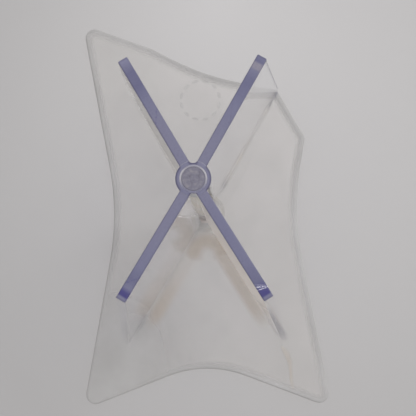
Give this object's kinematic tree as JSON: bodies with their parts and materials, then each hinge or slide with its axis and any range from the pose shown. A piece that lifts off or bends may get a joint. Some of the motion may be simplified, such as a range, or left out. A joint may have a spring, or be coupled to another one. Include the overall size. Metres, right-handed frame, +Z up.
{
  "type": "radiometer",
  "caption": "Clear-plastic light mill: upright tapering vanes on a hub that turns freely round a fixed spindle above a pointed base plate with one corner broken away.",
  "frame": {"origin": "on the spindle axis at the underside of the base plate", "axes": "+Z up along the spindle; +Y to the back, along the plate's length and between the two back vanes; +X to the right"},
  "size_m": [0.1016, 0.1604, 0.0642],
  "materials": {
    "vane_plastic": "clear sheet, clear through its faces and violet-blue along its cut edges",
    "spindle_plastic": "clear rod with a sawn, mottled end",
    "plate_plastic": "clear sheet, faintly grey, with rounded edges",
    "bearing_plastic": "pale natural plastic",
    "aged_cement": "yellowed clear cement"
  },
  "bodies": {
    "stand": {"base_plate": "plate_plastic", "spindle_rod": "spindle_plastic", "spindle_collar": "plate_plastic", "thrust_washer": "bearing_plastic", "collar_cement": "aged_cement"},
    "vane_rotor": {"rotor_hub": "vane_plastic", "upper_bush": "bearing_plastic", "lower_bush": "bearing_plastic", "vane_back_right": "vane_plastic", "vane_back_left": "vane_plastic", "vane_front_left": "vane_plastic", "vane_front_right": "vane_plastic", "cement_back_right_left": "aged_cement", "cement_back_right_right": "aged_cement", "cement_back_left_left": "aged_cement", "cement_back_left_right": "aged_cement", "cement_front_left_left": "aged_cement", "cement_front_left_right": "aged_cement", "cement_front_right_left": "aged_cement", "cement_front_right_right": "aged_cement"}
  },
  "joints": [
    {"name": "rotor_spin", "type": "hinge", "parent": "stand", "child": "vane_rotor", "pos_m": [0, 0, 0.0087], "axis": [0, 0, 1], "continuous": true}
  ]
}
